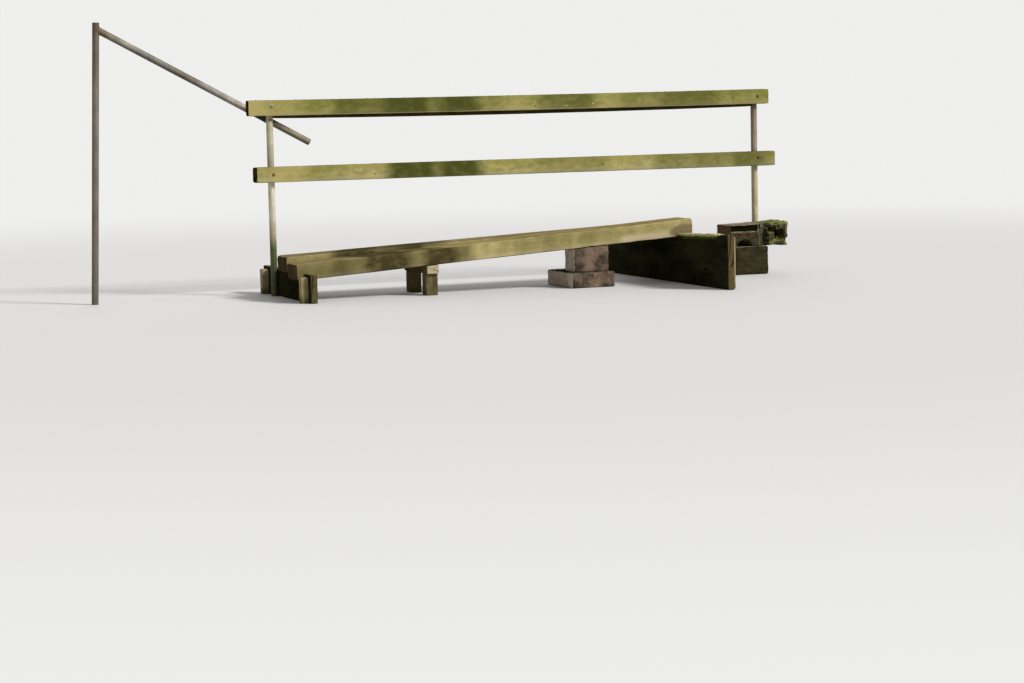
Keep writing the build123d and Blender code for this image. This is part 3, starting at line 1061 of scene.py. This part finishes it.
def make_trestle():
    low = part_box("trestle_cap")[0]
    finish = stake_finish("trestle_beam_wood", low, ALONG_Y, 4.0, -0.2, BEAM_LOOK)
    make_block(
        "trestle_beam", "trestle_cap", "stake_wood", finish, arris=0.004, cell=0.004, rough=0.003,
        shift=3.0, drawn_out=(1, 4, 1), bedded=True,
    )
    for shift, side in enumerate(("front", "back")):
        name = "trestle_pile_" + side
        node = "trestle_" + side + "_pile"
        finish = stake_finish(name + "_wood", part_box(node)[0], ALONG_Z, 6.0 + shift, 0.05, PILE_LOOK)
        make_block(
            name, node, "stake_wood", finish, arris=0.004, cell=0.004, rough=0.003, shift=5.0 + shift,
            drawn_out=(1, 1, 4),
        )


def make_pier():
    for shift, name, node in (
        (0.0, "stone_footing", "pier_footing"),
        (3.0, "stone_front", "pier_front_block"),
        (6.0, "stone_back", "pier_back_block"),
    ):
        finish = stone_finish(name + "_rock", shift)
        make_block(
            name, node, "stone", finish, arris=0.009, cell=0.006, rough=0.009, shift=shift,
            drawn_out=(1, 1, 1), bedded=node != "pier_footing",
        )


def make_kerb_lower():
    node = "kerb_lower_timber"
    finish = board_finish("kerb_lower_wood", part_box(node)[0], ALONG_X, KERB_LOOK, 6.0, 0.2)
    make_block(
        "kerb_lower", node, "dark_wood", finish, arris=0.006, cell=0.008, rough=0.010, shift=2.0,
        drawn_out=(4, 1, 1),
    )


# Each (along, up, half its width, half its height, depth)
KERB_HOLLOWS = (
    (0.115, 0.004, 0.066, 0.050, 0.12), (0.406, 0.080, 0.046, 0.044, 0.13),
    (0.287, 0.060, 0.025, 0.064, 0.08), (0.346, 0.118, 0.036, 0.024, 0.07),
    (0.335, 0.000, 0.090, 0.016, 0.05), (0.470, 0.030, 0.030, 0.035, 0.05),
)


def make_kerb_upper():
    """The upper kerb: its face worn back over a ledge, and rotted into hollows at its far end."""
    low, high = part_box("kerb_upper_timber")
    size = high - low
    step_back = 0.014
    face_depth = 0.04
    hollow_reach = 0.16
    kerb = blank("kerb_upper", size)
    break_arrises(kerb, size, 0.007)
    remesh(kerb, 0.006)

    # Unseeded, this noise would give the kerb another shape on each run
    noise.seed_set(7)

    def rotted(p):
        drop = KERB_TOP_RISE * (1 - p.x / size[0])
        p.z *= 1 - drop / size[2]
        rot = max(0, min(1, (p.x - KERB_ROT_START) / 0.10))
        shake = noise.noise_vector(p * 14) * 0.016 + noise.noise_vector(p * 40) * 0.009
        p = p + shake * (0.15 + 0.85 * rot)
        front = max(0, 1 - p.y / face_depth)
        over_ledge = max(0, min(1, (p.z - KERB_LEDGE) / 0.006, (size[2] - drop - 0.008 - p.z) / 0.006))
        p.y += step_back * front * over_ledge * (1 - rot)
        for x, z, width, height, depth in KERB_HOLLOWS:
            far = math.hypot((p.x - x) / width, (p.z - z) / height)
            if far < 1 and p.y < hollow_reach:
                p.y += depth * (1 - far * far) * (1 - p.y / hollow_reach)
        p.x = max(0.0, min(p.x, size[0]))
        p.y = max(p.y, -0.004)
        p.z = max(0.0, min(p.z, size[2]))
        return p

    sculpt(kerb, rotted)
    remesh(kerb, 0.0045)
    roughen(kerb, 0.006, 0.03, (4, 1, 1), 7.0)
    roughen(kerb, 0.004, 0.010, (1, 1, 3), 7.0)
    smooth(kerb, 55)
    stand(kerb, low)
    fit_out(kerb, "dark_wood", kerb_finish("kerb_upper_wood", low), "kerb_upper_timber")


make_right_upper_board()
make_plain_boards()
make_pegs()
make_trestle()
make_pier()
make_kerb_lower()
make_kerb_upper()


# Tubes and fixings

def tube_along_z(name, length):
    """An open tube standing on the origin."""
    tube = added(bpy.ops.mesh.primitive_circle_add, vertices=48, radius=TUBE_RADIUS)
    tube.name = name
    open_mesh(tube)
    bpy.ops.mesh.select_all(action="SELECT")
    bpy.ops.mesh.extrude_region_move(TRANSFORM_OT_translate={"value": (0, 0, length)})
    bpy.ops.mesh.select_all(action="SELECT")
    bpy.ops.mesh.normals_make_consistent(inside=False)
    close_mesh()
    wall = tube.modifiers.new("wall", "SOLIDIFY")
    wall.thickness = TUBE_WALL
    wall.offset = -1
    apply_modifier(tube, wall)
    lips = tube.modifiers.new("lips", "BEVEL")
    lips.width = 0.0006
    lips.segments = 2
    lips.limit_method = "ANGLE"
    lips.angle_limit = math.radians(60)
    apply_modifier(tube, lips)
    return tube


def make_post(name, node, tones, shift):
    low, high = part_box(node)
    post = tube_along_z(name, high.z - low.z)
    smooth(post)
    stand(post, ((low.x + high.x) / 2, (low.y + high.y) / 2, low.z))
    fit_out(post, "galvanised_tube", tube_finish(name + "_zinc", tones, shift), node)


LEFT_POST_TONES = (
    (0.33, (0.085, 0.105, 0.033)), (0.46, (0.45, 0.37, 0.25)), (0.58, (0.62, 0.57, 0.43)),
    (0.80, (0.62, 0.57, 0.43)), (0.92, (0.36, 0.32, 0.21)), (1.20, (0.44, 0.39, 0.275)),
)
RIGHT_POST_TONES = (
    (0.20, (0.13, 0.13, 0.05)), (0.32, (0.50, 0.45, 0.27)), (0.45, (0.50, 0.45, 0.27)),
    (0.56, (0.40, 0.35, 0.195)), (0.80, (0.40, 0.35, 0.195)), (0.95, (0.28, 0.225, 0.16)),
    (1.08, (0.26, 0.20, 0.14)), (1.20, (0.19, 0.15, 0.10)),
)
APPROACH_POST_TONES = (
    (1.50, (0.155, 0.130, 0.100)), (1.62, (0.110, 0.088, 0.060)), (1.80, (0.115, 0.094, 0.064)),
    (1.90, (0.075, 0.057, 0.031)),
)
# Near black from 1.25 to 1.31 m: the top rail's shadow, painted on the tube
APPROACH_RAIL_TONES = (
    (1.16, (0.24, 0.205, 0.135)), (1.225, (0.24, 0.205, 0.135)), (1.25, (0.027, 0.022, 0.011)),
    (1.31, (0.027, 0.022, 0.011)), (1.34, (0.43, 0.365, 0.29)), (1.42, (0.29, 0.265, 0.22)),
    (1.49, (0.235, 0.21, 0.185)), (1.57, (0.14, 0.11, 0.075)), (1.65, (0.155, 0.15, 0.12)),
    (1.73, (0.17, 0.16, 0.13)), (1.80, (0.26, 0.24, 0.18)), (1.88, (0.15, 0.12, 0.066)),
)
make_post("post_left", "left_post", LEFT_POST_TONES, 0.0)
make_post("post_right", "right_post", RIGHT_POST_TONES, 3.0)


def approach_joint():
    """Where the axes of the sloping tube and its leaning post meet, and the x of the tube's lower end."""
    low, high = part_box("approach_rail")
    x = middle_of("left_post").x - APPROACH_POST_DISTANCE
    end_x = high.x - TUBE_RADIUS * math.sin(APPROACH_ANGLE)
    end_z = low.z + TUBE_RADIUS * math.cos(APPROACH_ANGLE)
    return Vector((x, (low.y + high.y) / 2, end_z + (end_x - x) * math.tan(APPROACH_ANGLE))), end_x


def make_approach_post():
    joint = approach_joint()[0]
    below = joint.z / math.cos(APPROACH_POST_LEAN) - TUBE_RADIUS * math.tan(APPROACH_POST_LEAN)
    post = tube_along_z("post_approach", below + APPROACH_POST_CAP)
    smooth(post)
    stand(post, (0, 0, -below))
    stand(post, joint, Matrix.Rotation(APPROACH_POST_LEAN, 4, "Y"))
    finish = tube_finish("post_approach_zinc", APPROACH_POST_TONES, 6.0)
    fit_out(post, "galvanised_tube", finish, "approach_post")


def make_approach_rail():
    """The sloping tube, coped at its upper end to lie on its post."""
    joint, end_x = approach_joint()
    tube = tube_along_z("approach_rail_tube", (end_x - joint.x) / math.cos(APPROACH_ANGLE))
    stand(tube, joint, Matrix.Rotation(math.radians(90) + APPROACH_ANGLE, 4, "Y"))
    cope = added(
        bpy.ops.mesh.primitive_cylinder_add, vertices=64, radius=TUBE_RADIUS + 0.0002, depth=0.4,
        location=joint, rotation=(0, APPROACH_POST_LEAN, 0),
    )
    cut_away(tube, cope)
    smooth(tube)
    finish = tube_finish("approach_rail_zinc", APPROACH_RAIL_TONES, 9.0)
    fit_out(tube, "galvanised_tube", finish, "approach_rail")


def weld_the_joint():
    """A lumpy bead where the sloping tube meets the round of its post."""
    joint = approach_joint()[0]
    between = APPROACH_ANGLE - APPROACH_POST_LEAN
    downhill = Vector((math.cos(APPROACH_ANGLE), 0, -math.sin(APPROACH_ANGLE)))
    uphill_side = Vector((math.sin(APPROACH_ANGLE), 0, math.cos(APPROACH_ANGLE)))
    lumps = []
    steps = 40
    for step in range(steps):
        turn = math.tau * step / steps
        side = TUBE_RADIUS * math.cos(turn)
        above = TUBE_RADIUS * math.sin(turn)
        run = (abs(above) - above * math.sin(between)) / math.cos(between)
        point = joint + Vector((0, side, 0)) + uphill_side * above + downhill * run
        radius = 0.0034 + 0.0006 * (step % 3)
        lump = added(bpy.ops.mesh.primitive_ico_sphere_add, subdivisions=2, radius=radius, location=point)
        lumps.append(lump)
    weld = joined("approach_weld", lumps)
    remesh(weld, 0.0012)
    smooth(weld, 60)
    finish = bolt_finish("weld_metal", (0.16, 0.145, 0.12), (0.12, 0.06, 0.03), 0.7)
    fit_out(weld, "galvanised_tube", finish)


make_approach_post()
make_approach_rail()
weld_the_joint()


def turned(radius, thick, middle_y, sides):
    """A short round or six-sided piece with its axis along Y."""
    return added(
        bpy.ops.mesh.primitive_cylinder_add, vertices=sides, radius=radius, depth=thick,
        rotation=(math.radians(90), 0, 0), location=(0, middle_y, 0),
    )


def shape_ends(piece, wanted, *insets):
    """Insets the faces whose normal passes, once for each (thickness, depth)."""
    open_mesh(piece)
    pick_faces(piece, lambda middle, normal: wanted(normal))
    for thickness, depth in insets:
        bpy.ops.mesh.inset(thickness=thickness, depth=depth)
    close_mesh()


def coach_bolt(name, place, length, finish, head):
    """A domed bolt through timber and tube, with a square washer, a nut and its thread's end behind."""
    dome = turned(head, HEAD_RIM, -HEAD_RIM / 2, 28)
    shape_ends(
        dome, lambda normal: normal.y < -0.9,
        (head * 0.28, 0.0032), (head * 0.34, 0.0020), (head * 0.25, 0.0005),
    )
    whole = length + THREAD_PAST_POST
    shank = turned(SHANK_RADIUS, whole, whole / 2, 18)
    shape_ends(shank, lambda normal: normal.y > 0.9, (0.0012, 0.001))
    nut = turned(NUT_RADIUS, NUT_THICKNESS, length + WASHER_THICKNESS + NUT_THICKNESS / 2, 6)
    shape_ends(nut, lambda normal: abs(normal.y) > 0.9, (0.001, 0.0008))
    washer = added(
        bpy.ops.mesh.primitive_cube_add, size=1, scale=(WASHER_SIDE, WASHER_THICKNESS, WASHER_SIDE),
        location=(0, length + WASHER_THICKNESS / 2, 0),
    )
    soften(washer, 0.0008)
    bolt = joined(name, [dome, shank, nut, washer])
    smooth(bolt, 30)
    stand(bolt, place)
    fit_out(bolt, "galvanised_tube", finish)


# Each look of a bolt: its tone, its rust's tone, how much of it is rust, and its gloss
BOLT_LOOKS = {
    "crusted": ((0.27, 0.265, 0.15), (0.17, 0.15, 0.07), 0.45, 0.03),
    "brown": ((0.13, 0.085, 0.045), (0.14, 0.07, 0.03), 0.6, 0.3),
    "orange": ((0.28, 0.15, 0.05), (0.22, 0.10, 0.03), 0.7, 0.3),
    "dark": ((0.065, 0.045, 0.025), (0.09, 0.05, 0.025), 0.6, 0.3),
    "pale": ((0.20, 0.17, 0.12), (0.13, 0.10, 0.06), 0.5, 0.3),
}

# Each bolt through a rail: its name, its post, its rail, how far below the rail's top it goes, and its look
RAIL_BOLTS = (
    ("bolt_top_left", "left_post", "top_rail", 0.044, "crusted"),
    ("bolt_top_right", "right_post", "top_rail", 0.052, "brown"),
    ("bolt_middle_left", "left_post", "middle_rail", 0.055, "orange"),
    ("bolt_middle_right", "right_post", "middle_rail", 0.046, "dark"),
)


def fix_the_rails():
    """A bolt where each rail crosses each post, and one that holds the sloping tube."""
    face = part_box("top_rail")[0].y
    post_low, post_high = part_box("left_post")
    finishes = {look: bolt_finish("bolt_" + look, *BOLT_LOOKS[look]) for look in BOLT_LOOKS}
    for name, post, rail, drop, look in RAIL_BOLTS:
        place = (middle_of(post).x, face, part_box(rail)[1].z - drop)
        coach_bolt(name, place, post_high.y - face, finishes[look], RAIL_HEAD_RADIUS)
    joint = approach_joint()[0]
    x = middle_of("left_post").x
    front = post_low.y + 0.0015
    place = (x, front, joint.z - (x - joint.x) * math.tan(APPROACH_ANGLE))
    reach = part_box("approach_rail")[1].y - front
    coach_bolt("bolt_approach", place, reach, finishes["pale"], APPROACH_HEAD_RADIUS)


fix_the_rails()


# Moss

def moss_mass(name, lumps, cell, finish, seed):
    """One cushion of moss from overlapping lumps: each is (x, y, z, width, depth, height)."""
    made = []
    for x, y, z, *size in lumps:
        lump = added(
            bpy.ops.mesh.primitive_ico_sphere_add, subdivisions=3, radius=1, scale=size, location=(x, y, z)
        )
        made.append(lump)
    mass = joined(name, made)
    remesh(mass, cell)
    roughen(mass, cell * 3.2, 0.012, shift=seed)
    roughen(mass, cell * 1.5, 0.004, shift=seed)
    smooth(mass, 80)
    fit_out(mass, "dark_wood", finish)


chance = random.Random(7)
moss_green = moss_finish("moss", (0.035, 0.042, 0.010), (0.19, 0.20, 0.035), (0.52, 0.54, 0.09), 0.0)
# A much lighter copy of the moss, painted sunlit, for the moss along the board
moss_lit = moss_finish("moss_lit", (0.34, 0.31, 0.11), (0.66, 0.60, 0.27), (0.85, 0.79, 0.42), 2.0)
moss_grey = moss_finish(
    "moss_strands", (0.04, 0.034, 0.014), (0.15, 0.125, 0.060), (0.29, 0.255, 0.140), 4.0
)
CRUMB_TONES = ((0.09, 0.087, 0.028), (0.17, 0.16, 0.05), (0.26, 0.245, 0.09))


def moss_on_the_board():
    """A strip of moss along the right board, from near its front end to under the deck."""
    low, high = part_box("right_upper_board")
    first = 0.14
    last = 0.86
    lumps = []
    y = low.y + first
    while y < low.y + last:
        fade = max(0.3, min(1, (y - low.y - 0.12) / 0.10, (low.y + 0.9 - y) / 0.20))
        top = high.z - (y - low.y) * math.tan(BOARD_FALL)
        height = 0.0065 * fade * chance.uniform(0.6, 1.4)
        x = low.x + chance.uniform(0.0, 0.044)
        lumps.append((x, y, top - 0.001, chance.uniform(0.012, 0.02), chance.uniform(0.012, 0.026), height))
        over = chance.uniform(0.002, 0.011) * fade
        lumps.append((low.x + 0.001, y, top - over, 0.005, chance.uniform(0.006, 0.012), 0.006))
        y += chance.uniform(0.003, 0.009)
    moss_mass("moss_board", lumps, 0.0028, moss_lit, 3.0)


def moss_on_the_kerb():
    """A thick cap of moss over the kerb's rotted end, thinning out towards the deck."""
    low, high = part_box("kerb_upper_timber")
    depth = 0.24
    crown_start = 0.25
    crown_width = 0.23
    lumps = []

    def top_at(x):
        return high.z - KERB_TOP_RISE / (high.x - low.x) * (high.x - x)

    def edge_at(y):
        return MOSS_EDGE_SLANT * (y - low.y)

    for _ in range(130):
        x = low.x + chance.uniform(0.290, 0.466)
        y = low.y + 0.004 + depth * chance.random()
        if x - low.x < 0.268 + edge_at(y):
            continue
        share = min(1, max(0, (x - low.x - edge_at(y) - crown_start) / crown_width))
        height = chance.uniform(0.002, 0.006) + 0.008 * math.sin(math.pi * share)
        width = chance.uniform(0.010, 0.022)
        lumps.append((x, y, top_at(x) - 0.003, width, chance.uniform(0.010, 0.022), height))
    for _ in range(44):
        x = low.x + chance.uniform(0.315, 0.466)
        z = top_at(x) - chance.uniform(0.0, 0.012)
        lumps.append((x, low.y, z, chance.uniform(0.007, 0.013), 0.008, chance.uniform(0.006, 0.010)))
    for _ in range(22):
        y = low.y + chance.uniform(0.01, depth)
        x = low.x + 0.245 + edge_at(y) + 0.04 * chance.random()
        width = chance.uniform(0.008, 0.016)
        lumps.append((x, y, top_at(x) - 0.003, width, chance.uniform(0.008, 0.016), 0.005))
    for _ in range(14):
        y = low.y + chance.uniform(0.0, depth)
        z = high.z - 0.030 * chance.random()
        width = chance.uniform(0.01, 0.02)
        lumps.append((high.x - 0.006, y, z, 0.006, width, chance.uniform(0.008, 0.014)))
    for _ in range(26):
        x = low.x + 0.342 + chance.gauss(0, 0.014)
        z = low.z + 0.042 + chance.gauss(0, 0.014)
        lumps.append((x, low.y + 0.010, z, 0.009, 0.012, 0.010))
    moss_mass("moss_kerb", lumps, 0.0032, moss_green, 5.0)


# Each (along, spread, length of the longest)
KERB_STRANDS = (
    (0.232, 0.010, 0.125), (0.262, 0.007, 0.085), (0.335, 0.012, 0.032), (0.372, 0.010, 0.026),
    (0.402, 0.012, 0.055), (0.432, 0.012, 0.050), (0.468, 0.006, 0.115),
)


def strands_on_the_kerb():
    """Grey strands that hang from the moss over the hollow, in a few uneven bunches."""
    low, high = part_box("kerb_upper_timber")
    step = 0.005
    lumps = []
    for bunch, width, longest in KERB_STRANDS:
        for _ in range(5):
            x = low.x + bunch + chance.gauss(0, width)
            drop = longest * chance.uniform(0.45, 1.0)
            thick = chance.uniform(0.0030, 0.0060)
            sway = chance.uniform(-0.25, 0.25)
            fallen = 0.0
            while fallen < drop:
                thin = thick * (1 - 0.7 * fallen / drop)
                lean = sway * fallen + chance.uniform(-0.0008, 0.0008)
                lumps.append((x + lean, low.y - 0.001, high.z - 0.010 - fallen, thin, thin, step))
                fallen += step
    moss_mass("moss_strands_kerb", lumps, 0.0022, moss_grey, 8.0)


moss_on_the_board()
moss_on_the_kerb()
strands_on_the_kerb()


def crumbs_on(name, node, count, seed, bow):
    """Crumbs of moss and lichen along the top of a rail, most of them by its front arris."""
    low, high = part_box(node)
    luck = random.Random(seed)
    first = added(bpy.ops.mesh.primitive_ico_sphere_add, subdivisions=2, radius=1)
    first.data.name = "crumb"
    made = [first]
    for _ in range(count - 1):
        copy = first.copy()
        copy.data = first.data.copy()
        bpy.context.scene.collection.objects.link(copy)
        made.append(copy)
    for crumb in made:
        width = luck.uniform(0.002, 0.006)
        height = width * luck.uniform(0.25, 0.5)
        x = luck.uniform(low.x + 0.06, high.x - 0.02)
        y = low.y + 0.003 + 0.043 * luck.random() ** 2
        z = high.z - height * 0.25 - bow * sag_at((x - low.x) / (high.x - low.x))
        lean = Matrix.Rotation(luck.uniform(0, math.tau), 4, "Z")
        shape = Matrix.Diagonal((width * luck.uniform(0.8, 1.8), width, height, 1))
        crumb.data.transform(Matrix.Translation((x, y, z)) @ lean @ shape)
    crumbs = joined(name, made)
    roughen(crumbs, 0.0016, 0.006, shift=seed)
    smooth(crumbs, 80)
    fit_out(crumbs, "rail_wood", moss_finish(name + "_moss", *CRUMB_TONES, seed))


crumbs_on("rail_top_crumbs", "top_rail", 80, 11, TOP_BOW)
crumbs_on("rail_middle_crumbs", "middle_rail", 70, 12, 0.0)


# Stage, light and camera

BACKDROP = (0.86, 0.86, 0.86 * 0.985)
FLOOR_PAPER = (0.72, 0.71, 0.695)
FLOOR_RADIUS = 70
FLOOR_FADE = (5.5, 14.0)
ROOM_STRENGTH = 0.34


def make_stage():
    """A pale floor that keeps the shadows near the bridge and runs out into the backdrop."""
    floor = added(bpy.ops.mesh.primitive_circle_add, vertices=96, radius=FLOOR_RADIUS, fill_type="NGON")
    floor.name = "floor"
    f = Finish("floor_paper")
    f.feed(f.shader.inputs["Base Color"], FLOOR_PAPER)
    f.feed(f.shader.inputs["Roughness"], 0.9)
    far = f.add("ShaderNodeVectorMath", operation="LENGTH")
    f.feed(far.inputs[0], f.spot)
    plain = f.add("ShaderNodeEmission")
    f.feed(plain.inputs["Color"], BACKDROP)
    blend = f.add("ShaderNodeMixShader")
    f.feed(blend.inputs[0], f.rise(far.outputs["Value"], *FLOOR_FADE))
    f.feed(blend.inputs[1], f.shader.outputs["BSDF"])
    f.feed(blend.inputs[2], plain.outputs[0])
    f.feed(f.end.inputs["Surface"], blend.outputs[0])
    floor.data.materials.append(f.material)


def add_sun(name, towards, strength, softness):
    """A broad lamp that shines along a direction."""
    bpy.ops.object.light_add(type="SUN")
    lamp = bpy.context.object
    lamp.name = name
    lamp.rotation_euler = Vector(towards).to_track_quat("-Z", "Y").to_euler()
    lamp.data.energy = strength
    lamp.data.angle = math.radians(softness)


def light_the_room():
    """An even grey room that lights the bridge, and shows as the pale backdrop."""
    world = bpy.data.worlds.new("room")
    bpy.context.scene.world = world
    world.use_nodes = True
    tree = world.node_tree
    tree.nodes.clear()
    room = tree.nodes.new("ShaderNodeBackground")
    room.inputs["Color"].default_value = (1, 1, 1, 1)
    room.inputs["Strength"].default_value = ROOM_STRENGTH
    plain = tree.nodes.new("ShaderNodeBackground")
    plain.inputs["Color"].default_value = (*BACKDROP, 1)
    path = tree.nodes.new("ShaderNodeLightPath")
    seen = tree.nodes.new("ShaderNodeMath")
    seen.operation = "MAXIMUM"
    tree.links.new(path.outputs["Is Camera Ray"], seen.inputs[0])
    tree.links.new(path.outputs["Is Glossy Ray"], seen.inputs[1])
    blend = tree.nodes.new("ShaderNodeMixShader")
    end = tree.nodes.new("ShaderNodeOutputWorld")
    for socket, source in zip(blend.inputs, (seen, room, plain)):
        tree.links.new(source.outputs[0], socket)
    tree.links.new(blend.outputs[0], end.inputs["Surface"])


def aim_camera():
    bpy.ops.object.camera_add(location=CAMERA_PLACE)
    camera = bpy.context.object
    turn = Matrix.Rotation(CAMERA_HEADING, 4, "Z")
    turn = turn @ Matrix.Rotation(CAMERA_PITCH, 4, "X")
    turn = turn @ Matrix.Rotation(CAMERA_ROLL, 4, "Z")
    camera.rotation_euler = turn.to_euler()
    camera.data.lens = CAMERA_LENS
    camera.data.sensor_width = 36
    camera.data.clip_end = 200
    bpy.context.scene.camera = camera


make_stage()
add_sun("key", (-0.62, 0.72, -0.62), 3.3, 14)
add_sun("back_fill", (-0.35, -1.0, -0.5), 0.9, 40)
light_the_room()
aim_camera()
bpy.context.scene.view_settings.view_transform = "Standard"
